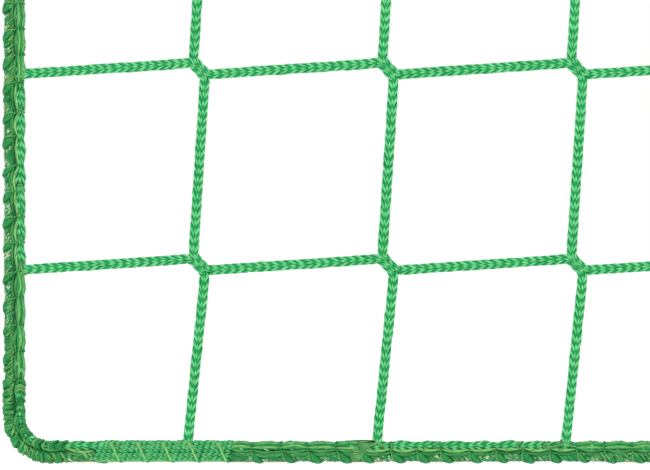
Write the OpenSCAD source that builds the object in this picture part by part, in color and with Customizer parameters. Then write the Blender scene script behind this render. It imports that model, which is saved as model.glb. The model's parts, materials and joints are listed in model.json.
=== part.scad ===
// Knotless tennis netting panel with a border rope sewn on along all four edges.
// The net hangs in the XZ plane: +X runs along the head rope and +Z points up.
// The origin is at the middle of the head border, where the net is hung.
// Each joint row of the netting is a hinge line, so the net is built in bands.

/* [Mesh] */
// Number of meshes side by side
columns = 12; // [11:1:16]
// Number of mesh rows from the head to the foot
rows = 7; // [4:1:8]
// Distance between neighbouring columns of joints
mesh_w = 44.2; // [40:0.1:48]
// Distance between neighbouring rows of joints
mesh_h = 45.8; // [40:0.1:48]
// Distance from a side border to the nearest column of joints
side_margin = 43.1; // [38:0.1:46]
// Distance from the head or foot border to the nearest row of joints
end_margin = 43.7; // [38:0.1:46]

/* [Netting cord] */
// Diameter of the knitted cord
cord_d = 2.3; // [1.8:0.1:2.6]
// Width of a joint, where two cords run side by side
joint_d = 2.9; // [2.7:0.1:3.2]
// Length of a joint along its diagonal, ends included
joint_length = 6.4; // [6:0.1:7]
// Height of the left leg above the joint's centre, where it meets the joint
left_leg_rise = 1.1; // [0.9:0.1:1.4]
// Drop of the right leg below the joint's centre, where it meets the joint
right_leg_drop = 1.3; // [0.9:0.1:1.4]
// Distance of the leg above the joint to the left of the joint's centre
upper_leg_shift = 1.3; // [0.9:0.1:1.4]
// Distance of the leg below the joint to the right of the joint's centre
lower_leg_shift = 1.3; // [0.9:0.1:1.4]
// Distance of a leg's end from the joint's centre, on the same band
leg_start = 3.6; // [3.6:0.1:4]
// Distance of a leg's end from the hinge line that it hangs over
leg_clear = 4.1; // [4:0.1:4.5]

/* [Border] */
// Diameter of the border rope, the outer strand
rope_d = 2.7; // [2.4:0.1:2.8]
// Diameter of the selvedge, the netting's own edge cord, which is the inner strand
selvedge_d = 2.3; // [2:0.1:2.4]
// Radius of a rounded corner, along the line between the two strands
corner_r = 8; // [7:0.5:10]
// Gap between the rope's ends of two bands
band_gap = 0.4; // [0.3:0.1:0.6]

/* [Binding] */
// Thickness of the binding thread
thread_t = 0.35; // [0.3:0.05:0.45]
// Width of the binding thread along the border
thread_w = 0.9; // [0.6:0.1:1.2]
// Number of binding stitches along one mesh
stitches = 6; // [4:1:8]

/* [Hidden] */
$fn = 48;
tiny = 0.05;
barrel_share = 0.9;
bands = rows - 1;
net_w = 2 * side_margin + (columns - 2) * mesh_w;
net_h = 2 * end_margin + (rows - 2) * mesh_h;
border_w = rope_d + selvedge_d;
rope_shift = border_w / 2 - rope_d / 2;
selvedge_shift = selvedge_d / 2 - border_w / 2;
left_x = -net_w / 2;
foot_z = -net_h;
netting_color = "mediumseagreen";
rope_color = "seagreen";
thread_color = "yellowgreen";

row_names = ["joints", "cross_legs", "down_legs", "left_rope", "right_rope", "selvedges", "bindings"];

// Places in the lattice: column i counts from 1 at the left, row k from 1 at the top.
// Row 0 is the head border and row bands + 1 is the foot border.
function column_x(i) = left_x + side_margin + (i - 1) * mesh_w;
function row_z(k) =
    k == 0 ? 0 :
    k > bands ? foot_z :
    -end_margin - (k - 1) * mesh_h;

// A straight cord between two points of the XZ plane, with flat ends.
module cord(from, to, d) {
    run = to - from;
    translate([from[0], 0, from[1]])
        rotate([0, atan2(run[0], run[1]), 0])
            cylinder(d = d, h = norm(run));
}

// Two cords squeezed side by side on the diagonal of one joint, closed by round ends.
module joint_capsule() {
    half = (joint_length - joint_d) / 2;
    rotate([0, 135, 0]) {
        cylinder(d = joint_d, h = 2 * half, center = true);
        for (side = [-1, 1])
            translate([0, 0, side * half]) sphere(d = joint_d);
    }
}

module joints(k) {
    color(netting_color)
        for (i = [1 : columns - 1])
            translate([column_x(i), 0, row_z(k)]) joint_capsule();
}

// The level legs of joint row k, from the left selvedge to the right one.
module cross_legs(k) {
    edge = net_w / 2 - border_w / 2 - tiny;
    color(netting_color)
        for (i = [0 : columns - 1]) {
            from_x = i == 0 ? -edge : column_x(i) + leg_start;
            to_x = i == columns - 1 ? edge : column_x(i + 1) - leg_start;
            cord([from_x, row_z(k) - right_leg_drop], [to_x, row_z(k) + left_leg_rise], cord_d);
        }
}

// The upright legs that hang from joint row k, or from the head border when k is 0.
module down_legs(k) {
    start = k == 0 ? border_w / 2 + tiny : leg_start;
    stop = k == bands ? border_w / 2 + tiny : leg_clear;
    color(netting_color)
        for (i = [1 : columns - 1])
            cord([column_x(i) + lower_leg_shift, row_z(k) - start],
                 [column_x(i) - upper_leg_shift, row_z(k + 1) + stop], cord_d);
}

// The strand of a side border from joint row k down: a rod that hangs from a barrel,
// which lies on the hinge line.
module side_strand(x, k, d) {
    top = k == 0 ? -corner_r : row_z(k);
    bottom = k == bands ? foot_z + corner_r : row_z(k + 1) + d / 2 + band_gap;
    cord([x, bottom], [x, top], d);
    if (k > 0)
        translate([x, 0, top])
            rotate([0, 90, 0]) cylinder(d = d, h = barrel_share * d, center = true);
}

module side_rope(side, k) {
    color(rope_color) side_strand(side * (net_w / 2 + rope_shift), k, rope_d);
}

module side_selvedges(k) {
    color(netting_color)
        for (side = [-1, 1])
            side_strand(side * (net_w / 2 + selvedge_shift), k, selvedge_d);
}

// A strand of the head or foot border with its two corner arcs; side is 1 at the head.
module end_strand(side, shift, d) {
    z = side > 0 ? 0 : foot_z;
    reach = net_w / 2 - corner_r;
    cord([-reach, z + side * shift], [reach, z + side * shift], d);
    for (turn = [-1, 1])
        translate([turn * reach, 0, z - side * corner_r])
            rotate([90, 0, 0])
                rotate([0, 0, side > 0 ? (turn > 0 ? 0 : 90) : (turn > 0 ? 270 : 180)])
                    rotate_extrude(angle = 90)
                        translate([corner_r + shift, 0]) circle(d = d);
}

// Outline of both strands side by side, grown by a margin, with the rope towards +X.
module strands_outline(margin) {
    rope_r = rope_d / 2 + margin;
    selvedge_r = selvedge_d / 2 + margin;
    translate([rope_shift, 0]) circle(r = rope_r);
    translate([selvedge_shift, 0]) circle(r = selvedge_r);
    translate([selvedge_shift, -selvedge_r])
        square([rope_shift - selvedge_shift, 2 * selvedge_r]);
}

// One turn of the binding thread around both strands, with the rope towards +X.
module stitch() {
    linear_extrude(thread_w, center = true)
        difference() {
            strands_outline(2 * tiny + thread_t);
            strands_outline(2 * tiny);
        }
}

module side_bindings(k) {
    top = row_z(k);
    span = row_z(k) - row_z(k + 1);
    color(thread_color)
        for (side = [-1, 1], s = [0 : stitches - 1]) {
            z = top - (s + 0.5) * span / stitches;
            if (z < -corner_r - thread_w && z > foot_z + corner_r + thread_w)
                translate([side * net_w / 2, 0, z])
                    rotate([0, 0, side > 0 ? 0 : 180]) stitch();
        }
}

// Stitches along the head or foot border and round its corners; side is 1 at the head.
// They keep clear of the legs, which meet the border near each column.
module end_binding(side) {
    z = side > 0 ? 0 : foot_z;
    reach = net_w / 2 - corner_r;
    color(thread_color) {
        for (i = [0 : columns - 1], s = [0 : stitches - 1]) {
            x = column_x(i) + (s + 0.5) * mesh_w / stitches;
            if (abs(x) < reach - thread_w)
                translate([x, 0, z]) rotate([0, -side * 90, 0]) stitch();
        }
        for (turn = [-1, 1], angle = [22.5, 67.5])
            translate([turn * reach, 0, z - side * corner_r])
                rotate([0, atan2(-side * cos(angle), turn * sin(angle)), 0])
                    translate([corner_r, 0, 0]) stitch();
    }
}

module head_rope() {
    color(rope_color) end_strand(1, rope_shift, rope_d);
}

module head_selvedge() {
    color(netting_color) end_strand(1, selvedge_shift, selvedge_d);
}

module foot_rope() {
    color(rope_color) end_strand(-1, rope_shift, rope_d);
}

module foot_selvedge() {
    color(netting_color) end_strand(-1, selvedge_shift, selvedge_d);
}

head_rope();
head_selvedge();
end_binding(1);  // head_binding
down_legs(0);  // head_down_legs
side_rope(-1, 0);  // head_left_rope
side_rope(1, 0);  // head_right_rope
side_selvedges(0);  // head_selvedges
side_bindings(0);  // head_bindings
for (k = [1 : bands]) {
    joints(k);
    cross_legs(k);
    down_legs(k);
    side_rope(-1, k);
    side_rope(1, k);
    side_selvedges(k);
    side_bindings(k);
}
foot_rope();
foot_selvedge();
end_binding(-1);  // foot_binding
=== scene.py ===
"""Knotless tennis netting with a border rope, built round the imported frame."""
import json
import math

import bpy
import numpy as np
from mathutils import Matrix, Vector


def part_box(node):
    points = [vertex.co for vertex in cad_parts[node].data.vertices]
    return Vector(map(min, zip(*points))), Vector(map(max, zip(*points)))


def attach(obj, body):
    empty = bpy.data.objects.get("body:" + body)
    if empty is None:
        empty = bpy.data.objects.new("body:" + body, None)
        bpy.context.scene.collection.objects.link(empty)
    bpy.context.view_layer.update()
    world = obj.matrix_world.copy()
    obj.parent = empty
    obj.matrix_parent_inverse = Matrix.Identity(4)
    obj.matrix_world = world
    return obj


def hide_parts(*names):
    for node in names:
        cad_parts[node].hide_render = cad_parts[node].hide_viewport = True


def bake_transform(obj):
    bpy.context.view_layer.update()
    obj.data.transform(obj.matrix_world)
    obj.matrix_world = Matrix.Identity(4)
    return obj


MM = 0.001
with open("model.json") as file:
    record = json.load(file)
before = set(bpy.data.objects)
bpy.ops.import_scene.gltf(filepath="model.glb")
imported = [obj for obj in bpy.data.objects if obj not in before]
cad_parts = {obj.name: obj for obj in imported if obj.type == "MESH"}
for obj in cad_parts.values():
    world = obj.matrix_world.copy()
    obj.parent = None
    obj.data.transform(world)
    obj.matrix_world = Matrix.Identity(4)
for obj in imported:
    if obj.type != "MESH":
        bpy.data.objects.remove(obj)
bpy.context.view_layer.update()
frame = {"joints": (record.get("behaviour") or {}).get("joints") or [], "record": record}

# ---------------------------------------------------------------- sizes from the frame

JOINTS = frame["joints"]
ROWS = len(JOINTS)
ROW_Z = [joint["pos_m"][2] / MM for joint in JOINTS]
legs_low, legs_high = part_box("head_down_legs")
CORD_D = (legs_high.y - legs_low.y) / MM
rope_low, rope_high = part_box("head_rope")
selvedge_low, selvedge_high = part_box("head_selvedge")
ROPE_D = (rope_high.y - rope_low.y) / MM
SELVEDGE_D = (selvedge_high.y - selvedge_low.y) / MM
BORDER_W = ROPE_D + SELVEDGE_D
HALF_W = rope_high.x / MM - BORDER_W / 2
FOOT_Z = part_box("foot_rope")[0].z / MM + BORDER_W / 2
HEAD_Z = rope_high.z / MM - BORDER_W / 2
ROPE_SHIFT = (BORDER_W - ROPE_D) / 2
SELVEDGE_SHIFT = (SELVEDGE_D - BORDER_W) / 2
CORNER_R = HEAD_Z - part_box("head_left_rope")[1].z / MM
# The first and the last column of joints, and how many columns there are: one fewer than
# the meshes under the head border, each of which the record states as an opening.
joints_low, joints_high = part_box("row_1_joints")
JOINT_REACH = (joints_high.z - joints_low.z) / 2 / MM
FIRST_X = joints_low.x / MM + JOINT_REACH
LAST_X = joints_high.x / MM - JOINT_REACH
openings = frame["record"]["physics"]["openings"]
COLUMNS = sum(opening["name"].startswith("head_mesh") for opening in openings) - 1
COLUMN_X = list(np.linspace(FIRST_X, LAST_X, COLUMNS))

# Where a leg leaves its joint's centre, across and up, in millimetres.
LEFT_LEG = (-3.5, 1.15)
RIGHT_LEG = (3.5, -1.25)
UPPER_LEG = (-1.25, 3.5)
LOWER_LEG = (1.25, -3.5)
# How far across from its joint a leg meets the foot border.
FOOT_LEG = -2.7
# Where the two cords of a joint turn: into the leg beside it, and into the leg above or below.
SIDE_TURN = (2.2, 1.45)
TALL_TURN = (1.3, 2.2)

# The camera's distance, the width of what it sees, and how far right of the left border
# and up from the foot border its middle is.
CAMERA_AWAY = 900.0
VIEW_WIDTH = 152.0
VIEW_RIGHT = 72.55
VIEW_UP = 50.6

# A knitted cord's stitches: how far apart they are, the lengths of an arm, a middle stitch
# and an edge stitch as shares of that, the core's radius as a share of the cord's width, and
# how many rings and sides a stitch has.
STITCH_PITCH = 2.0
ARM_REACH = 1.25
MIDDLE_REACH = 0.85
EDGE_REACH = 1.1
CORE_SHARE = 0.43
ARM_RINGS = 6
SHORT_RINGS = 5
STITCH_SIDES = 6

# How many sides a ribbon of thread has, and a round strand.
RIBBON_SIDES = 6
STRAND_SIDES = 8

# The net's back and front: which way out of its plane a stitch stands.
FACES = (-1, 1)

# The laid rope: its radius, where its axis is left of the border's path, how many strands it
# has, the length in which they turn once round, the distance between a strand's rings, and
# the radius of a strand and the reach of its axis as shares of the rope's radius.
ROPE_R = 0.46 * ROPE_D
ROPE_AXIS = ROPE_SHIFT + 0.05
ROPE_STRANDS = 7
ROPE_LAY = 5.6
ROPE_STEP = 0.4
STRAND_SHARE = 0.48
STRAND_REACH = 0.52

# The knitted selvedge's axis, its inner edge, and the valley between it and the rope.
SELVEDGE_AXIS = SELVEDGE_SHIFT + 0.05
INNER_EDGE = SELVEDGE_SHIFT - SELVEDGE_D / 2
VALLEY = (ROPE_AXIS - ROPE_R + SELVEDGE_SHIFT + SELVEDGE_D / 2) / 2

# The binding: how far apart its stitches are, and its stretches of each kind round the lower
# left corner. A stretch's ends are lengths along the border from the corner, negative along
# the foot and positive up the side. Beyond NEAR_CORNER, waves choose the stretches.
BIND_PITCH = 6.3
COVERED = [(-48, -16)]
RIBBED = [(-150, -128), (-14, 36), (84, 106)]
WOUND = [(-11, 17)]
SLEEK = [(-150, -128), (-82, -50), (12, 40), (84, 106)]
NEAR_CORNER = 150
# The further turns of a ribbed stitch, and the pale strokes across the rope of a ribbed or
# a wound one.
RIBS = 3
STROKES = 16
# How far apart the close turns of a wound stitch are, and the fine ones over them.
CLOSE_PITCH = 1.05
FINE_PITCH = 1.3
# The knitting that covers a covered stitch: its chains on each face, how far apart they and
# their stitches are, and how thick a chain is.
COVER_CHAINS = 5
COVER_SPACING = 0.93
COVER_PITCH = 1.3
COVER_D = 1.04

rng = np.random.default_rng(7)


# ---------------------------------------------------------------- camera, light, floor

def make_camera():
    """Square-on to the net's lower left corner, through a long lens."""
    data = bpy.data.cameras.new("camera")
    data.sensor_width = 36
    data.lens = data.sensor_width * CAMERA_AWAY / VIEW_WIDTH
    data.clip_end = 60
    camera = bpy.data.objects.new("camera", data)
    camera.location = ((-HALF_W + VIEW_RIGHT) * MM, -CAMERA_AWAY * MM, (FOOT_Z + VIEW_UP) * MM)
    camera.rotation_euler = (math.radians(90), 0, 0)
    bpy.context.scene.collection.objects.link(camera)
    bpy.context.scene.camera = camera


def make_area_light(name, place, size, power, target, color=(1, 1, 1)):
    data = bpy.data.lights.new(name, "AREA")
    data.shape = "DISK"
    data.size = size
    data.energy = power
    data.color = color
    lamp = bpy.data.objects.new(name, data)
    lamp.location = place
    toward = np.array(target) - np.array(place)
    lamp.rotation_euler = Vector(toward).to_track_quat("-Z", "Y").to_euler()
    bpy.context.scene.collection.objects.link(lamp)


def make_light():
    world = bpy.data.worlds.new("studio")
    world.use_nodes = True
    background = world.node_tree.nodes["Background"]
    background.inputs["Color"].default_value = (1, 1, 1, 1)
    background.inputs["Strength"].default_value = 1.0
    bpy.context.scene.world = world
    bpy.context.scene.view_settings.view_transform = "Standard"
    middle = (0, 0, (FOOT_Z + HEAD_Z) / 2 * MM)
    make_area_light("key", (-0.9, -1.6, 0.9), 0.8, 14, middle)
    make_area_light("rim", (1.2, 1.4, 0.8), 0.8, 6, middle)
    make_area_light("warm", (1.4, -0.7, -0.3), 0.3, 6, middle, (1.0, 0.9, 0.45))


def make_floor():
    drop = 40 * MM
    half = 20.0
    z = FOOT_Z * MM - drop
    mesh = bpy.data.meshes.new("floor")
    corners = [(-half, -half, z), (half, -half, z), (half, half, z), (-half, half, z)]
    mesh.from_pydata(corners, [], [(0, 1, 2, 3)])
    floor = bpy.data.objects.new("floor", mesh)
    bpy.context.scene.collection.objects.link(floor)
    material = bpy.data.materials.new("floor_white")
    material.use_nodes = True
    shader = material.node_tree.nodes["Principled BSDF"]
    shader.inputs["Base Color"].default_value = (0.97, 0.97, 0.97, 1)
    shader.inputs["Roughness"].default_value = 0.9
    shader.inputs["Emission Color"].default_value = (1, 1, 1, 1)
    shader.inputs["Emission Strength"].default_value = 0.15
    mesh.materials.append(material)


# ---------------------------------------------------------------- paths in the net's plane

class Path:
    """A smooth line in the net's plane. At a length s along it, it gives the point, the
    direction of travel and the direction to the left of travel. A closed one goes round
    and round, and an open one stops at its ends."""

    def __init__(self, points, closed=False):
        self.closed = closed
        self.points = np.array(points, float)
        steps = np.linalg.norm(np.diff(self.points, axis=0), axis=1)
        self.lengths = np.concatenate([[0], np.cumsum(steps)])
        self.length = self.lengths[-1]
        slope = np.gradient(self.points, self.lengths, axis=0)
        self.slope = slope / np.linalg.norm(slope, axis=1, keepdims=True)

    def at(self, s):
        s = np.mod(s, self.length) if self.closed else np.clip(s, 0, self.length)
        place = np.stack([np.interp(s, self.lengths, self.points[:, i]) for i in (0, 1)], -1)
        travel = np.stack([np.interp(s, self.lengths, self.slope[:, i]) for i in (0, 1)], -1)
        travel /= np.linalg.norm(travel, axis=-1, keepdims=True)
        left = np.stack([-travel[..., 1], travel[..., 0]], -1)
        return place, travel, left


def smooth_line(corners):
    """Rounds a polygon's corners off, then spaces its points evenly."""
    points = np.array(corners, float)
    for _ in range(4):
        near = 0.75 * points[:-1] + 0.25 * points[1:]
        far = 0.25 * points[:-1] + 0.75 * points[1:]
        between = np.stack([near, far], 1).reshape(-1, 2)
        points = np.concatenate([points[:1], between, points[-1:]])
    return evenly(points, 0.25)


def evenly(points, step):
    """The same line with its points evenly spaced."""
    points = np.array(points, float)
    lengths = np.concatenate([[0], np.cumsum(np.linalg.norm(np.diff(points, axis=0), axis=1))])
    even = np.linspace(0, lengths[-1], int(lengths[-1] / step) + 2)
    return np.stack([np.interp(even, lengths, points[:, i]) for i in (0, 1)], -1)


def place_on(path, s, left, out):
    """Points at length s, left of the path and out of the net's plane, in metres.
    Positive out is towards the viewer."""
    place, _, side = path.at(s)
    flat = place + side * left[..., None]
    return np.stack([flat[..., 0], -out, flat[..., 1]], -1) * MM


# ---------------------------------------------------------------- meshes made of many tubes

class Tubes:
    """Collects tubes of equal make-up, and turns them into one mesh with its attributes."""

    def __init__(self):
        self.points, self.faces, self.sizes, self.fibres, self.shades = [], [], [], [], []
        self.count = 0

    def add(self, grid, along, shade, tint):
        """grid holds places as [tube, ring, side, xyz]. along is a ring's place on the
        fibre in millimetres, shade is the painted shade, from 0 where the colour is darkened fully
        to the shade tone, deep in the cord, to 1 on top, and tint is each tube's own draw of
        colour, from 0 to 1."""
        tubes, rings, sides = grid.shape[:3]
        index = np.arange(tubes * rings * sides).reshape(tubes, rings, sides) + self.count
        ahead = np.roll(index, -1, axis=2)
        quads = np.stack([index[:, :-1], ahead[:, :-1], ahead[:, 1:], index[:, 1:]], -1)
        caps = np.concatenate([index[:, 0, ::-1], index[:, -1]])
        self.faces += [quads.reshape(-1), caps.reshape(-1)]
        self.sizes += [np.full(quads.size // 4, 4), np.full(len(caps), sides)]
        around = np.abs(np.arange(sides) / sides - 0.5) * 2
        fibre = np.empty(grid.shape)
        fibre[..., 0] = along[..., None]
        fibre[..., 1] = around
        fibre[..., 2] = np.asarray(tint).reshape(-1, 1, 1)
        self.points.append(grid.reshape(-1, 3))
        self.fibres.append(fibre.reshape(-1, 3))
        self.shades.append(np.broadcast_to(shade, grid.shape[:3]).reshape(-1))
        self.count += index.size

    def build(self, name, material):
        points = np.concatenate(self.points)
        faces = np.concatenate(self.faces)
        sizes = np.concatenate(self.sizes)
        mesh = bpy.data.meshes.new(name)
        mesh.vertices.add(len(points))
        mesh.vertices.foreach_set("co", points.reshape(-1))
        mesh.loops.add(len(faces))
        mesh.loops.foreach_set("vertex_index", faces.astype(np.int32))
        mesh.polygons.add(len(sizes))
        starts = np.concatenate([[0], np.cumsum(sizes)[:-1]])
        mesh.polygons.foreach_set("loop_start", starts.astype(np.int32))
        mesh.update(calc_edges=True)
        mesh.validate()
        fibre = mesh.attributes.new("fibre", "FLOAT_VECTOR", "POINT")
        fibre.data.foreach_set("vector", np.concatenate(self.fibres).reshape(-1).astype(np.float32))
        shade = mesh.attributes.new("shade", "FLOAT", "POINT")
        shade.data.foreach_set("value", np.concatenate(self.shades).astype(np.float32))
        mesh.shade_smooth()
        mesh.materials.append(material)
        piece = bpy.data.objects.new(name, mesh)
        bpy.context.scene.collection.objects.link(piece)
        return piece


def ring_angles(sides):
    return np.arange(sides) / sides * 2 * math.pi


def ease(value, low, high):
    """0 below low, 1 above high, and a smooth step between them."""
    share = np.clip((value - low) / (high - low), 0, 1)
    return share * share * (3 - 2 * share)


def tube(tubes, path, s, left, out, shade, tint):
    """One tube along the path. left and out are the places of each ring's corners."""
    ring_s, left, out = np.broadcast_arrays(s[:, None], left, out)
    tubes.add(place_on(path, ring_s, left, out)[None], s[None], shade, [tint])


def knit(tubes, path, stops, width, depth, shift=0.0, lift=0.0, faces=FACES, uneven=1.0):
    """A knitted cord: a core, a chain of V-shaped stitches that point along the path on its
    front and its back, and a chain of small stitches along each edge. stops are the places
    of the stitches, width and depth are functions of the length along the path, shift and
    lift move the cord to the left of the path and out of the net's plane, and uneven is how
    far the stitches stray."""
    pitch = stops[1] - stops[0]
    shape = (tubes, path, width, depth, shift, lift)
    for face in faces:
        places = stops[:, None] + (0.0 if face > 0 else 0.5) * pitch
        for side in (-1, 1):
            arm_stitches(shape, places, pitch, face, side, uneven)
        middle_stitches(shape, places, pitch, face, uneven)
    if faces == FACES:
        for side in (-1, 1):
            edge_stitches(shape, stops[:, None], pitch, side, uneven)
    s = np.linspace(stops[0] - pitch / 2, stops[-1] + pitch / 2, 2 * len(stops))
    angles = ring_angles(STRAND_SIDES)
    # Painted shade: the core takes only the shade tone, so it shows as dark gaps between the stitches.
    tube(tubes, path, s, shift + CORE_SHARE * width(s)[:, None] * np.cos(angles),
         lift + CORE_SHARE * depth(s)[:, None] * np.sin(angles), 0.0, 0.5)


def arm_stitches(shape, places, pitch, face, side, uneven):
    """The arms of the Vs on one side of a face. Each runs from the edge to the middle."""
    jitter = rng.normal(0, 0.06 * uneven, (len(places), 4))
    u = np.linspace(0, 1, ARM_RINGS)
    swell = np.sin(math.pi * (0.10 + 0.84 * u)) ** 0.8
    s = places + (u - 0.5) * ARM_REACH * pitch + jitter[:, :1]
    across = side * (0.78 - 0.54 * ease(u, 0.15, 0.85) + 0.4 * jitter[:, 1:2])
    dip = 0.22 * u ** 3 + 0.20 * (1 - u) ** 3
    rise = face * np.sqrt(1 - across ** 2) * (0.86 - dip + jitter[:, 3:4])
    wide = (0.39 - 0.13 * u) * swell * (1 + 2.0 * jitter[:, 2:3])
    lobes(shape, s, across, rise, wide, 0.34 * swell)


def short_stitch():
    """The rings of a short stitch: their places from 0 to 1, and how full it is there."""
    u = np.linspace(0, 1, SHORT_RINGS)
    return u, np.sin(math.pi * (0.08 + 0.84 * u))


def middle_stitches(shape, places, pitch, face, uneven):
    """The small stitches between the arms, along the middle of a face."""
    jitter = rng.normal(0, 0.05 * uneven, (len(places), 3))
    u, swell = short_stitch()
    s = places + (u - 0.5) * MIDDLE_REACH * pitch + jitter[:, :1]
    across = 0.8 * jitter[:, 1:2] + 0 * u
    rise = face * (0.84 + 0.10 * u + jitter[:, 2:3])
    lobes(shape, s, across, rise, 0.26 * swell + 0 * across, 0.30 * swell)


def edge_stitches(shape, places, pitch, side, uneven):
    """The small stitches along one edge, between the front and the back."""
    jitter = rng.normal(0, 0.05 * uneven, (len(places), 2))
    u, swell = short_stitch()
    s = places + (u - 0.5 + 0.35) * EDGE_REACH * pitch + jitter[:, :1]
    across = side * (0.86 + 0.5 * jitter[:, 1:2] + 0 * u)
    lobes(shape, s, across, 0 * across, 0.46 * swell + 0 * across, 0.24 * swell)


def lobes(shape, s, across, rise, wide, high):
    """One stitch per row of s, lying on the cord's surface. across, rise, wide and high are
    shares of the cord's half width and half depth."""
    tubes, path, width, depth, shift, lift = shape
    w = width(s) / 2
    d = depth(s) / 2
    left, out = w * across, d * rise
    normal = np.stack([left / w ** 2, out / d ** 2], -1)
    normal /= np.linalg.norm(normal, axis=-1, keepdims=True)
    tangent = np.stack([-normal[..., 1], normal[..., 0]], -1)
    angles = ring_angles(STITCH_SIDES) - math.pi / 2
    cos, sin = np.cos(angles), np.sin(angles)
    at = np.stack([left, out], -1)[:, :, None] \
        + tangent[:, :, None] * ((w * wide)[..., None] * cos)[..., None] \
        + normal[:, :, None] * ((d * high)[..., None] * sin)[..., None]
    ring_s = np.broadcast_to(s[..., None], at.shape[:3])
    grid = place_on(path, ring_s, shift + at[..., 0], lift + at[..., 1])
    # Painted shade: each stitch darkens towards its ends and on its underside, where it tucks into the
    # cord.
    swell = high / high.max()
    shade = np.clip(swell[None, :, None] ** 1.5 * (0.55 + 0.55 * sin), 0, 1)
    tubes.add(grid, s - s[:, :1], shade, rng.random(len(s)))


# ---------------------------------------------------------------- netting

def cord_b(i, k):
    """Corners of the path through joint i of row k, from the leg above to the right leg."""
    x, z = COLUMN_X[i], ROW_Z[k]
    return [(x + UPPER_LEG[0], z + UPPER_LEG[1]), (x - TALL_TURN[0], z + TALL_TURN[1]),
            (x + SIDE_TURN[0], z - SIDE_TURN[1]), (x + RIGHT_LEG[0], z + RIGHT_LEG[1])]


def cord_a(i, k):
    """Corners of the path through joint i of row k, from the left leg to the leg below."""
    x, z = COLUMN_X[i], ROW_Z[k]
    return [(x + LEFT_LEG[0], z + LEFT_LEG[1]), (x - SIDE_TURN[0], z + SIDE_TURN[1]),
            (x + TALL_TURN[0], z - TALL_TURN[1]), (x + LOWER_LEG[0], z + LOWER_LEG[1])]


def upright(i, k, share):
    """A point on the upright leg below row k, at a share of its length. Row -1 is the head."""
    top = ROW_Z[k] + LOWER_LEG[1] if k >= 0 else HEAD_Z - BORDER_W / 2 + 1.0
    bottom = ROW_Z[k + 1] + UPPER_LEG[1] if k < ROWS - 1 else FOOT_Z + BORDER_W / 2 - 1.0
    x_top = COLUMN_X[i] + LOWER_LEG[0]
    x_bottom = COLUMN_X[i] + (UPPER_LEG[0] if k < ROWS - 1 else FOOT_LEG)
    return (x_top + share * (x_bottom - x_top), top + share * (bottom - top))


def stairs(i, k):
    """The path of the cord that comes down to joint i of row k, crosses to joint i + 1 and
    goes on down. The first comes out of the left border, the last ends in the right one."""
    corners = []
    if i < 0:
        corners.append((-HALF_W + BORDER_W / 2 - 1.0, ROW_Z[k] + RIGHT_LEG[1]))
    else:
        corners.append(upright(i, k - 1, 0.5 if k > 0 else 0.0))
        corners += cord_b(i, k)
    if i < COLUMNS - 1:
        corners += cord_a(i + 1, k)
        corners.append(upright(i + 1, k, 0.5 if k < ROWS - 1 else 1.0))
    else:
        corners.append((HALF_W - BORDER_W / 2 + 1.0, ROW_Z[k] + LEFT_LEG[1]))
    return Path(smooth_line(corners))


def squeeze(path, k):
    """How much a cord is squeezed at each length: 1 in a joint, 0 along a leg."""
    joints = np.array([(x, ROW_Z[k]) for x in COLUMN_X])
    away = np.linalg.norm(path.points[:, None] - joints[None], axis=2).min(axis=1)
    return 1 - ease(away, 1.7, 3.1)


def make_netting(material):
    """One piece for each half of each row of joints, with the legs above and below it."""
    for k in range(ROWS):
        name = f"row_{k + 1}"
        nodes = [f"{name}_joints", f"{name}_cross_legs", f"{name}_down_legs"]
        for half, columns in (("left", range(-1, COLUMNS // 2)), ("right", range(COLUMNS // 2, COLUMNS))):
            tubes = Tubes()
            for i in columns:
                make_cord(tubes, i, k)
                if i >= 0:
                    fill_joint(tubes, i, k)
            piece = tubes.build(f"netting_{name}_{half}", material)
            bend(piece)
            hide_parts(*(nodes + (["head_down_legs"] if k == 0 else [])))


def make_cord(tubes, i, k):
    """The cord of the staircase that starts at joint i of row k."""
    path = stairs(i, k)
    tight = squeeze(path, k)
    count = round(path.length / STITCH_PITCH)
    stops = (np.arange(count) + 0.5) * path.length / count

    def width(s):
        return CORD_D * (1 - 0.28 * np.interp(s, path.lengths, tight))

    def depth(s):
        return 0.88 * CORD_D * (1 + 0.10 * np.interp(s, path.lengths, tight))

    knit(tubes, path, stops, width, depth, uneven=1.5)


def fill_joint(tubes, i, k):
    """The inside of a joint, between its two cords."""
    x, z = COLUMN_X[i], ROW_Z[k]
    reach = 0.8 * CORD_D
    path = Path([(x - reach, z + reach), (x, z), (x + reach, z - reach)])
    s = np.linspace(0, path.length, 8)
    angles = ring_angles(STRAND_SIDES)
    round_off = np.sin(math.pi * (0.1 + 0.8 * s[:, None] / path.length)) ** 0.5
    # Painted shade: the filling takes mostly the shade tone, as the joint's inside lies in shade.
    tube(tubes, path, s, round_off * 0.39 * CORD_D * np.cos(angles),
         round_off * 0.38 * CORD_D * np.sin(angles), 0.25, 0.5)


def bend(piece):
    """Bakes a piece's placement into its mesh."""
    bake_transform(piece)


# ---------------------------------------------------------------- border

def border_path():
    """Round the net along the line between the border's two strands, clockwise from the
    middle of the head as the viewer sees it, so that left of travel is outward."""
    points = [(0.0, HEAD_Z)]
    corners = [(HALF_W, HEAD_Z, 90), (HALF_W, FOOT_Z, 0), (-HALF_W, FOOT_Z, -90), (-HALF_W, HEAD_Z, -180)]
    for x, z, start in corners:
        cx, cz = x - math.copysign(CORNER_R, x), z + (CORNER_R if z == FOOT_Z else -CORNER_R)
        for turn in np.radians(np.linspace(start, start - 90, 31)):
            points.append((cx + CORNER_R * math.cos(turn), cz + CORNER_R * math.sin(turn)))
    points.append((0.0, HEAD_Z))
    return Path(evenly(points, 0.5), closed=True)


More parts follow.
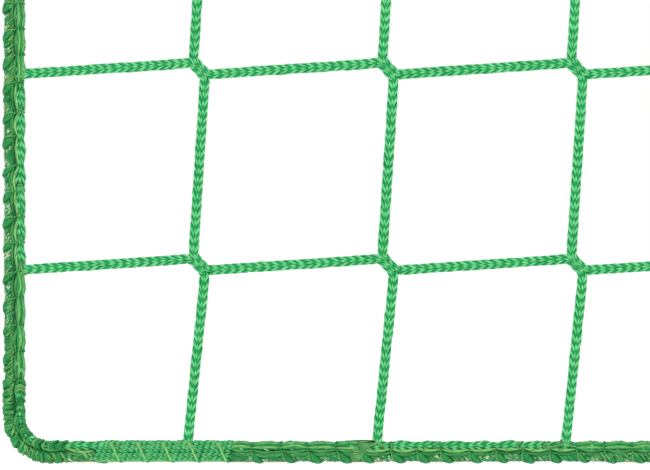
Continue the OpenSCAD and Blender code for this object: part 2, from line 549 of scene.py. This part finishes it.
def leg_places(path):
    """Where the net's legs meet the border, as lengths along its path."""
    spots = [(x + LOWER_LEG[0], HEAD_Z) for x in COLUMN_X] + [(x + FOOT_LEG, FOOT_Z) for x in COLUMN_X]
    spots += [(-HALF_W, z + RIGHT_LEG[1]) for z in ROW_Z] + [(HALF_W, z + LEFT_LEG[1]) for z in ROW_Z]
    return [near(path, spot) for spot in spots]


def near(path, spot):
    """The length along a path where it is nearest to a spot."""
    return path.lengths[np.linalg.norm(path.points - spot, axis=1).argmin()]


BORDER = border_path()
LEG_PLACES = leg_places(BORDER)
FILM_PLACE = near(BORDER, (COLUMN_X[1] + FOOT_LEG, FOOT_Z))
LEFT_CORNER = near(BORDER, (-HALF_W, FOOT_Z))


def border_windows():
    """The border's stretches, two for each band, as (band, side, start, end). Band 0 is the
    head, then there is one for each row of joints, and the last is the foot."""
    head_half = HALF_W - CORNER_R + CORNER_R * math.pi / 2
    heights = [HEAD_Z] + ROW_Z + [FOOT_Z]
    cuts = [(above + below) / 2 for above, below in zip(heights, heights[1:])]
    ends = [0.0] + [head_half + HEAD_Z - CORNER_R - z for z in cuts] + [BORDER.length / 2]
    windows = []
    for band, (start, end) in enumerate(zip(ends, ends[1:])):
        windows.append((band, "right", start, end))
        windows.append((band, "left", BORDER.length - end, BORDER.length - start))
    return windows


def wave(s, seed, scale):
    """A smooth random wave along the border, from -1 to 1. scale is about a sixth of its
    longest wavelength, in millimetres, and each seed gives its own wave."""
    phases = np.random.default_rng(seed).uniform(0, 2 * math.pi, 5)
    s = np.asarray(s, float)
    waves = [np.sin(s / scale * (1 + 0.37 * i) + phase) / (1 + 0.3 * i) for i, phase in enumerate(phases)]
    return np.clip(sum(waves) / 2.2, -1, 1)


def make_rope(path, start, end, tubes):
    """A laid rope: strands that twist round one another, uneven along their length, the
    undyed fibre that shows here and there at its outer edge, and the filler between the
    rope and the selvedge."""
    s = np.linspace(start, end, int((end - start) / ROPE_STEP) + 2)
    angles = ring_angles(STRAND_SIDES)
    for strand in range(ROPE_STRANDS):
        turn = 2 * math.pi * (s / ROPE_LAY + strand / ROPE_STRANDS) + 0.5 * wave(s, strand, 1.7)
        radius = STRAND_SHARE * ROPE_R * (1 + 0.12 * wave(s, 10 + strand, 0.8))
        reach = STRAND_REACH * ROPE_R * (1 + 0.07 * wave(s, 20, 1.7))
        left = ROPE_AXIS + (reach * np.cos(turn))[:, None] + radius[:, None] * np.cos(angles)
        out = (reach * np.sin(turn))[:, None] + radius[:, None] * np.sin(angles)
        # Painted shade: a strand darkens towards the rope's axis, in the grooves between the strands.
        deep = np.hypot(left - ROPE_AXIS, out) / ROPE_R
        shade = np.clip((deep - 0.55) / 0.35, 0, 1)
        tube(tubes, path, s, left, out, shade, 0.25 * strand / ROPE_STRANDS)
    bare = ease(wave(s, 33, 7.0), 0.0, 0.3)[:, None]
    edge = ROPE_AXIS + ROPE_R - 0.45 + 0.38 * bare
    tube(tubes, path, s, edge + 0.25 * np.cos(angles), 0.55 * np.sin(angles), 1.0, 1.0)
    # Painted shade: the filler between the rope and the selvedge takes mostly the shade tone, so the gap
    # there shows dark.
    tube(tubes, path, s, VALLEY + 0.5 * np.cos(angles), 0.5 * np.sin(angles), 0.3, 0.1)


def make_selvedge(path, start, end, tubes):
    """The knitted selvedge along the border's inner side."""
    count = max(round((end - start) / STITCH_PITCH), 2)
    stops = start + (np.arange(count) + 0.5) * (end - start) / count

    def thick(s):
        waist = 0.15 * np.cos(2 * math.pi * s / BIND_PITCH)
        return SELVEDGE_D * (0.94 + 0.05 * wave(s, 30, 1.4) - waist)

    knit(tubes, path, stops, thick, thick, SELVEDGE_AXIS, uneven=1.6)


def ribbon(tubes, path, s, left, out, hub, wide, thick, tint, shade=1.0):
    """A thread along a line that winds round the border, flat against a hub: the place,
    left of the path, of the axis that it winds round. wide may change along it."""
    centre = place_on(path, s, left, out)
    run = np.gradient(centre, axis=0)
    run /= np.linalg.norm(run, axis=1, keepdims=True)
    lift = centre - place_on(path, s, np.full_like(s, hub), np.zeros_like(s))
    lift -= (lift * run).sum(1, keepdims=True) * run
    lift /= np.linalg.norm(lift, axis=1, keepdims=True)
    flank = np.cross(run, lift)
    angles = ring_angles(RIBBON_SIDES)
    wide = np.broadcast_to(wide, s.shape)[:, None, None]
    thick = np.broadcast_to(thick, s.shape)[:, None, None]
    cos, sin = np.cos(angles)[None, :, None], np.sin(angles)[None, :, None]
    grid = centre[:, None] + MM / 2 * (flank[:, None] * wide * cos + lift[:, None] * thick * sin)
    # Painted shade: a ribbon darkens along its flanks, where it meets the ribbons beside it.
    shade = shade * (1 - 0.55 * np.abs(np.cos(angles)) ** 3)
    lengths = np.concatenate([[0], np.cumsum(np.linalg.norm(np.diff(centre, axis=0), axis=1))]) / MM
    tubes.add(grid[None], lengths[None], shade, [tint])


def wrap(tubes, path, s, advance, wide, thick, lift, tint):
    """Thread round the rope, from the valley over the front, the outer edge and the back to
    the valley again. It is widest and stands out most at the outer edge."""
    turn = np.linspace(0, 1, 26)
    arch = np.sin(math.pi * turn)
    angle = math.pi - 2 * math.pi * turn
    radius = ROPE_R - 0.08 + lift * arch ** 1.5
    ribbon(tubes, path, s + advance * (0.25 - turn), ROPE_AXIS + radius * np.cos(angle),
           radius * np.sin(angle), ROPE_AXIS, wide=0.5 + (wide - 0.5) * arch,
           thick=thick * (0.5 + 0.5 * arch), tint=tint)


def skin(left):
    """How far the border's face stands out of the net's plane, at a place across it."""
    rope = ROPE_R ** 2 - (left - ROPE_AXIS) ** 2
    knitted = (0.46 * SELVEDGE_D) ** 2 - (left - SELVEDGE_SHIFT) ** 2
    return np.sqrt(np.maximum(np.maximum(rope, knitted), 0.0))


def valley_run(tubes, path, stitch, face, wide, tint):
    """The thread's run on the border's face, from one stitch's knot to the next one's, and
    the broad strand beside it on the rope's flank."""
    u = np.linspace(0, 1, 16)
    arch = np.sin(math.pi * u)
    left = stitch.knot + (stitch.next_knot - stitch.knot) * ease(u, 0.3, 1.0)
    left += (0.42 + 0.1 * stitch.draw[5]) * arch
    out = face * (np.maximum(skin(left), 0.85) - 0.12 + 0.30 * arch)
    s = stitch.start + (stitch.end - stitch.start) * u
    ribbon(tubes, path, s, left, out, VALLEY, wide=wide * (0.40 + 0.60 * arch), thick=0.45, tint=tint)
    beside = left + 0.70
    out = face * (skin(beside) + 0.03)
    ribbon(tubes, path, s, beside, out, ROPE_AXIS, wide=0.9 + 0.4 * arch, thick=0.2, tint=0.35)


def cross_thread(tubes, path, s, face):
    """A thread that slants over the border's face from the inner edge to the outer one."""
    u = np.linspace(0, 1, 22)
    left = INNER_EDGE + BORDER_W * (0.5 - 0.5 * np.cos(math.pi * u))
    out = face * (np.maximum(skin(left), 0.85 * np.sin(math.pi * u)) + 0.42 * np.sin(math.pi * u))
    s = s + 3.3 * (1 - u) ** 1.5
    ribbon(tubes, path, s, left, out, 0.0, wide=1.1 - 0.4 * u, thick=0.45, tint=0.85)


def edge_run(tubes, path, start, end, face):
    """A pale run of thread on the border's face, close to its outer edge, and the dark knot
    that holds its start."""
    u = np.linspace(0, 1, 14)
    arch = np.sin(math.pi * u)
    left = ROPE_AXIS + 0.88 * ROPE_R - 0.20 * arch
    out = face * (skin(left) + 0.22 + 0.15 * arch)
    s = start + (end - start) * u
    ribbon(tubes, path, s, left, out, ROPE_AXIS, wide=0.45 + 0.35 * arch, thick=0.45, tint=0.80)
    left = ROPE_AXIS + ROPE_R * np.linspace(0.45, 1.05, 14)
    out = face * (skin(left) + 0.20)
    s = start - 0.5 * u
    ribbon(tubes, path, s, left, out, ROPE_AXIS, wide=0.3 + 1.0 * arch ** 0.5, thick=0.5, tint=0.10)


def leaf(tubes, path, stitch, face):
    """The fat turn over the rope at a stitch, with a fine thread along its edge. It leaves
    the knot as a thin thread, slants over the rope as it widens, and stands out at the
    border's outer edge."""
    u = np.linspace(0, 1, 20)
    tip = ROPE_AXIS + ROPE_R - 0.02 + 0.09 * np.clip(stitch.draw[9], -1, 2)
    left = stitch.knot + (tip - stitch.knot) * np.sin(math.pi / 2 * u)
    out = face * (np.maximum(skin(left), 0.75 * (1 - u)) + 0.06)
    s = stitch.start + 0.1 - (2.5 + 0.4 * stitch.draw[1]) * u
    wide = 0.45 + (1.60 + 0.25 * stitch.draw[2]) * ease(u, 0.05, 0.60) - 0.60 * ease(u, 0.80, 1.0)
    thick = 0.35 + 0.50 * ease(u, 0.1, 0.8)
    ribbon(tubes, path, s, left, out, ROPE_AXIS, wide, thick, tint=0.10)
    s = s + 0.50 * wide
    ribbon(tubes, path, s, left, out, ROPE_AXIS, wide=0.35 + 0.2 * wide, thick=0.45, tint=0.50)


def knob(tubes, path, stitch):
    """The round end of a fat turn, where it goes round the border's outer edge."""
    u = np.linspace(0, 1, 12)
    full = np.sin(math.pi * (0.06 + 0.88 * u)) ** 0.7
    s = stitch.start - 0.9 - (2.3 + 0.3 * stitch.draw[1]) * u
    left = ROPE_AXIS + ROPE_R - 0.20 + 0.12 * full
    thick = (1.1 + 0.1 * stitch.draw[2]) * full
    ribbon(tubes, path, s, left, 0 * u, ROPE_AXIS, wide=1.9 * full, thick=thick, tint=0.10)


def selvedge_run(tubes, path, start, end, face, place, bulge, wide, tint, lift=0.16):
    """A long stitch on the selvedge's front or back, thin at its ends and bulging between."""
    u = np.linspace(0, 1, 13)
    arch = np.sin(math.pi * u)
    left = place + bulge * arch
    radius = SELVEDGE_D / 2 + lift
    across = np.clip((left - SELVEDGE_SHIFT) / radius, -0.97, 0.97)
    out = face * radius * np.sqrt(1 - across ** 2) * (0.80 + 0.20 * arch)
    s = start + (end - start) * u
    wide = wide * (0.35 + 0.65 * arch)
    ribbon(tubes, path, s, left, out, SELVEDGE_SHIFT, wide, thick=0.45, tint=tint)


def smooth_selvedge(tubes, path, stitch, face):
    """Long flat stitches that hide the selvedge's knitting between two stitches."""
    here, there, draw = stitch.start, stitch.end, stitch.draw
    for place in (-0.80, -1.60):
        selvedge_run(tubes, path, here - 1.6, there + 1.6, face, place,
                     bulge=0.0, wide=0.95, tint=0.20, lift=0.05)
    selvedge_run(tubes, path, here, there + 0.2, face, -0.95,
                 bulge=-0.20 + 0.2 * draw[6], wide=0.95, tint=0.75)
    selvedge_run(tubes, path, here + 0.3, there - 0.3, face, -1.45,
                 bulge=-0.10 + 0.2 * draw[7], wide=0.70, tint=0.15)
    selvedge_run(tubes, path, here + 0.2, there, face, -1.75,
                 bulge=-0.35 + 0.1 * draw[4], wide=0.80, tint=0.55)


def further_turns(tubes, path, stitch):
    """More turns round the rope, behind the fat one."""
    draw = stitch.draw
    for rib in range(RIBS):
        s = stitch.start - 1.0 - 1.25 * rib + 0.2 * draw[11 + rib]
        wrap(tubes, path, s, advance=2.6 + 0.4 * draw[12 + rib], wide=1.30 + 0.25 * draw[rib], thick=0.5,
             lift=0.08 + 0.05 * draw[3 + rib], tint=0.2 + 0.15 * draw[9 + rib])


def strokes(tubes, path, stitch):
    """Fine pale threads that show across the rope between its turns."""
    dice = np.random.default_rng(int(stitch.start * 10) + 500)
    u = np.linspace(0, 1, 7)
    for _ in range(STROKES):
        start = dice.uniform(stitch.start, stitch.end)
        low = dice.uniform(-0.1, 0.9)
        long = dice.uniform(0.6, 1.3)
        left = np.minimum(low + long * u, ROPE_AXIS + 0.9 * ROPE_R)
        out = (skin(left) + 0.12 + 0.20 * np.sin(math.pi * u)) * dice.choice([-1, 1])
        tint = dice.choice([0.7, 1.0])
        ribbon(tubes, path, start - long * u, left, out, ROPE_AXIS, wide=0.26, thick=0.3, tint=tint)


def whip(tubes, path, stitch):
    """Close fine turns round the rope, and slanting turns round the selvedge."""
    dice = np.random.default_rng(int(stitch.start * 10) + 900)
    for s in np.arange(stitch.start, stitch.end, CLOSE_PITCH):
        s += 0.15 * dice.normal()
        wrap(tubes, path, s, advance=1.3 + 0.3 * dice.normal(), wide=1.30 + 0.30 * dice.random(),
             thick=0.75, lift=0.12 + 0.14 * math.sin(4.2 * s), tint=dice.choice([0.05, 0.12, 0.30]))
    for s in np.arange(stitch.start, stitch.end, FINE_PITCH):
        wrap(tubes, path, s + 0.3 * dice.normal(), advance=1.5 + 0.5 * dice.normal(), wide=0.36,
             thick=0.40, lift=0.32 + 0.14 * math.sin(4.2 * s), tint=dice.choice([0.45, 0.70, 0.90]))
        selvedge_turn(tubes, path, s + 0.3 * dice.normal(), slant=dice.uniform(0.8, 2.4),
                      wide=dice.uniform(0.65, 1.10), tint=dice.choice([0.03, 0.15, 0.60]),
                      lift=dice.uniform(0.0, 0.26))


def selvedge_turn(tubes, path, s, slant, wide, tint, lift=0.0):
    """The thread's turn round the selvedge. It bows along the border on both faces."""
    turn = np.linspace(0, 2 * math.pi, 33)
    arch = np.abs(np.sin(turn))
    radius = 0.47 * SELVEDGE_D + lift
    ribbon(tubes, path, s + slant * arch ** 2, SELVEDGE_AXIS + radius * np.cos(turn),
           (radius + 0.12) * np.sin(turn), SELVEDGE_SHIFT, wide=wide * (0.5 + 0.5 * arch),
           thick=0.34, tint=tint)


class Stitch:
    """One stitch of the binding: its start and its knot, the next stitch's, and its kinds.
    Covered: fine knitting hides the rope and the selvedge. Ribbed: it takes further turns
    round the rope. Wound: close turns hide both. Sleek: long stitches hide the selvedge.
    draw holds its random draws, which set how it differs from the others."""

    def __init__(self, k):
        self.k = k
        self.draw = self.dice(k)
        self.start, self.knot = self.place(k), self.level(k)
        self.end, self.next_knot = self.place(k + 1), self.level(k + 1)
        self.covered = self.lies_in(COVERED, 52, 26.0, 0.5)
        self.ribbed = self.lies_in(RIBBED, 40, 16.0, 0.3)
        self.wound = self.lies_in(WOUND, 43, 30.0, 0.7)
        self.sleek = self.lies_in(SLEEK, 41, 22.0, 0.0)

    def lies_in(self, stretches, seed, scale, level):
        """Whether the stitch lies in one of the stretches, or where a wave is above a level."""
        middle = (self.k + 0.5) * BIND_PITCH
        spot = middle - LEFT_CORNER
        if abs(spot) > NEAR_CORNER:
            return wave(middle, seed, scale) > level
        return any(low < spot < high for low, high in stretches)

    def dice(self, k):
        return np.random.default_rng(100 + k).normal(0, 1, 16)

    def place(self, k):
        return k * BIND_PITCH + 0.35 * self.dice(k)[0]

    def level(self, k):
        return VALLEY - 0.42 + 0.25 * np.clip(self.dice(k)[14], -1.5, 1.5)


def stitches(start, end):
    return [Stitch(k) for k in range(math.ceil(start / BIND_PITCH), math.ceil(end / BIND_PITCH))]


def make_cover(path, start, end, tubes):
    """Where fine knitting spreads over the whole border: chains side by side on each face,
    each a little ahead of the one beside it."""
    for stitch in stitches(start, end):
        if not stitch.covered:
            continue
        for chain in range(COVER_CHAINS):
            shift = COVER_SPACING * (chain - COVER_CHAINS // 2) - 0.22
            lift = max(skin(shift), 0.85) - 0.12
            ahead = 0.3 * chain
            stops = np.arange(stitch.start + ahead - 0.8, stitch.end + ahead - 1.2, COVER_PITCH)

            def thick(s):
                return COVER_D + 0.25 * wave(s, 70 + chain, 0.9)

            for face in FACES:
                knit(tubes, path, stops, thick, thick, shift, face * lift, faces=(face,), uneven=1.5)


def make_fans(path, start, end, tubes):
    """The yarn that spreads from the root of each leg of the net along the selvedge."""
    # Each thread: where across the leg it starts, from -1 to 1, and how far along it reaches.
    threads = ((0.9, 4.2), (0.45, 3.4), (0.0, 2.2), (-0.4, 0.9), (-0.85, 1.6))
    u = np.linspace(0, 1, 14)
    for leg in LEG_PLACES:
        if not start <= leg < end:
            continue
        for share, reach in threads:
            s = leg + 0.75 * share + math.copysign(reach, share + 0.1) * ease(u, 0.15, 1.3) ** 1.5
            left = -BORDER_W / 2 - 0.3 + (1.4 + 0.4 * abs(share)) * u ** 0.7
            for face in FACES:
                out = face * (0.72 + 0.50 * ease(u, 0.1, 0.6) - 0.25 * share ** 2)
                ribbon(tubes, path, s, left, out, left, wide=0.9 - 0.3 * u, thick=0.5, tint=0.55, shade=0.9)


def make_film(path, start, end, tubes):
    """Beside one leg of the net the yarn spreads flat over the whole border."""
    if not start <= FILM_PLACE < end:
        return
    u = np.linspace(0, 1, 18)
    for share in np.linspace(0, 1, 8):
        s = FILM_PLACE + 0.5 + (7.0 - 1.5 * share) * u
        left = -BORDER_W / 2 + 0.1 + 0.3 * u + (3.8 * share + 0.1) * ease(u, 0.0, 0.75)
        for face in FACES:
            out = face * (np.maximum(skin(left), 0.9) + 0.12)
            wide = 0.5 + 0.5 * ease(u, 0.0, 0.5)
            ribbon(tubes, path, s, left, out, left, wide, thick=0.35, tint=0.6, shade=0.75)


def make_binding(path, start, end, tubes):
    """The binding thread, stitch by stitch. It runs along the valley, and at each stitch it
    wraps the rope in a fat glossy turn that stands out at the outer edge. Some stitches also
    take a thin turn round the selvedge. The class Stitch names the other kinds."""
    for stitch in stitches(start, end):
        draw, here, there = stitch.draw, stitch.start, stitch.end
        if stitch.covered:
            for face in FACES:
                cross_thread(tubes, path, here, face)
                edge_run(tubes, path, here, there, face)
        elif stitch.wound:
            whip(tubes, path, stitch)
        else:
            if stitch.ribbed:
                further_turns(tubes, path, stitch)
            knob(tubes, path, stitch)
            for face in FACES:
                leaf(tubes, path, stitch, face)
        if stitch.ribbed or stitch.wound:
            strokes(tubes, path, stitch)
        for face in FACES:
            if not stitch.covered:
                tint = 0.4 if stitch.sleek or stitch.wound else 0.8
                valley_run(tubes, path, stitch, face, wide=0.95, tint=tint)
            if stitch.sleek and not stitch.wound:
                smooth_selvedge(tubes, path, stitch, face)
        # About four stitches in ten take the turn round the selvedge.
        if draw[13] > 0.2:
            tint = 0.12 if stitch.sleek else 0.45
            selvedge_turn(tubes, path, here, slant=0.8 + 0.5 * draw[8], wide=0.70, tint=tint)


def make_border(selvedge, rope, thread):
    """Three pieces for each stretch of the border: its rope, its selvedge and its binding.
    Each kind has its colour slot, its material and its makers."""
    kinds = [("rope", "rope", rope, [make_rope]),
             ("selvedge", "netting", selvedge, [make_selvedge, make_cover]),
             ("binding", "thread", thread, [make_binding, make_fans, make_film])]
    names = ["head"] + [f"row_{k + 1}" for k in range(ROWS)] + ["foot"]
    for band, side, start, end in border_windows():
        for kind, slot, material, makers in kinds:
            tubes = Tubes()
            for make in makers:
                make(BORDER, start, end, tubes)
            piece = tubes.build(f"{kind}_{names[band]}_{side}", material)
            if band == 0:
                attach(piece, "head")
            elif band > ROWS:
                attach(piece, JOINTS[-1]["child"])
            else:
                bend(piece)
            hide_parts(*border_nodes(kind, names[band], side))


def border_nodes(kind, name, side):
    """The CAD nodes that a piece of the border stands for."""
    if name == "foot":
        return [f"foot_{kind}"]
    beside = {"rope": f"{side}_rope", "selvedge": "selvedges", "binding": "bindings"}[kind]
    return [f"{name}_{beside}"] + ([f"head_{kind}"] if name == "head" else [])


# ---------------------------------------------------------------- materials

def yarn(name, tones, rough, streaks, patchy, gloss, fibre_and_glint_flecks=None):
    """Multifilament yarn: fine streaks along the fibre, and painted shade: the colour darkens to
    a shade tone where each point's shade attribute is low, between the stitches and deep in the
    cord. tones are that painted shade tone, the darker and the lighter colour of the streaks, and
    the colour of the pale yarn of the tubes with a high tint. The last argument is the colour of
    pale flecks along the fibre, partly pale fibres and partly painted glints."""
    deep, mid, light, pale = tones
    material = bpy.data.materials.new(name)
    material.use_nodes = True
    nodes, links = material.node_tree.nodes, material.node_tree.links
    shader = nodes["Principled BSDF"]

    def node(kind, **settings):
        made = nodes.new(kind)
        for key, value in settings.items():
            setattr(made, key, value)
        return made

    def blend_colors(factor, first, second):
        mix = node("ShaderNodeMix", data_type="RGBA")
        for value, socket in ((factor, "Factor"), (first, "A"), (second, "B")):
            if isinstance(value, (tuple, float)):
                mix.inputs[socket].default_value = (*value, 1) if isinstance(value, tuple) else value
            else:
                links.new(value, mix.inputs[socket])
        return mix.outputs["Result"]

    def noise(vector, scale, stretch, detail):
        scaled = node("ShaderNodeVectorMath", operation="MULTIPLY")
        scaled.inputs[1].default_value = stretch
        links.new(vector, scaled.inputs[0])
        texture = node("ShaderNodeTexNoise")
        texture.inputs["Scale"].default_value = scale
        texture.inputs["Detail"].default_value = detail
        links.new(scaled.outputs["Vector"], texture.inputs["Vector"])
        return texture.outputs["Fac"]

    def levels(value, low, high):
        ramp = node("ShaderNodeMapRange")
        ramp.inputs["From Min"].default_value = low
        ramp.inputs["From Max"].default_value = high
        links.new(value, ramp.inputs["Value"])
        return ramp.outputs["Result"]

    fibre = node("ShaderNodeAttribute", attribute_name="fibre").outputs["Vector"]
    shade = node("ShaderNodeAttribute", attribute_name="shade").outputs["Fac"]
    streak = noise(fibre, 1.0, (0.6, streaks, 41.0), 3.0)
    place = node("ShaderNodeTexCoord").outputs["Object"]
    patch = noise(place, 1.0, (420.0, 420.0, 420.0), 2.0)
    yarn_color = blend_colors(levels(streak, 0.34, 0.66), mid, light)
    yarn_color = blend_colors(levels(patch, 0.62 - patchy, 0.80 - patchy), yarn_color, mid)
    if pale:
        tint = node("ShaderNodeSeparateXYZ")
        links.new(fibre, tint.inputs[0])
        yarn_color = blend_colors(levels(tint.outputs["Z"], 0.25, 0.90), yarn_color, pale)
        yarn_color = blend_colors(levels(streak, 0.60, 0.30), yarn_color, mid)
    # Pale flecks along the fibre: partly pale fibres, partly painted glints of the glossy rope.
    if fibre_and_glint_flecks:
        fleck = noise(fibre, 1.0, (1.1, 4.0, 57.0), 1.0)
        spread = noise(place, 1.0, (330.0, 330.0, 330.0), 1.0)
        flecks = node("ShaderNodeMath", operation="MULTIPLY")
        links.new(levels(fleck, 0.53, 0.64), flecks.inputs[0])
        links.new(levels(spread, 0.43, 0.57), flecks.inputs[1])
        yarn_color = blend_colors(flecks.outputs[0], yarn_color, fibre_and_glint_flecks)
    # Painted shade: the shade attribute blends the yarn's colour down to the shade tone.
    links.new(blend_colors(shade, deep, yarn_color), shader.inputs["Base Color"])
    bump = node("ShaderNodeBump")
    bump.inputs["Strength"].default_value = 0.6
    bump.inputs["Distance"].default_value = 0.00012
    links.new(streak, bump.inputs["Height"])
    links.new(bump.outputs["Normal"], shader.inputs["Normal"])
    shader.inputs["Roughness"].default_value = rough
    shader.inputs["Specular IOR Level"].default_value = gloss
    return material


# Each material's tones: the painted shade tone, the darker and the lighter colour of its streaks, and its
# pale yarn.
NETTING_TONES = ((0.002, 0.27, 0.070), (0.070, 0.44, 0.160), (0.200, 0.66, 0.280), None)
SELVEDGE_TONES = ((0.002, 0.25, 0.062), (0.066, 0.41, 0.144), (0.190, 0.61, 0.250), None)
ROPE_TONES = ((0.003, 0.13, 0.038), (0.008, 0.15, 0.045), (0.045, 0.32, 0.100), (0.52, 0.50, 0.27))
THREAD_TONES = ((0.001, 0.08, 0.018), (0.001, 0.13, 0.026), (0.014, 0.32, 0.068), (0.25, 0.58, 0.18))
# The colour of the rope's pale flecks: partly pale fibre, partly painted glints.
FIBRE_AND_GLINT_FLECKS = (0.50, 0.63, 0.40)

make_camera()
make_light()
make_floor()
netting_yarn = yarn("netting_yarn", NETTING_TONES, 0.5, 6.0, 0.0, 0.15)
selvedge_yarn = yarn("selvedge_yarn", SELVEDGE_TONES, 0.5, 6.0, 0.0, 0.15)
rope_yarn = yarn("rope_yarn", ROPE_TONES, 0.4, 5.0, 0.06, 0.12, FIBRE_AND_GLINT_FLECKS)
thread_yarn = yarn("thread_yarn", THREAD_TONES, 0.34, 7.0, 0.06, 0.25)
make_netting(netting_yarn)
make_border(selvedge_yarn, rope_yarn, thread_yarn)
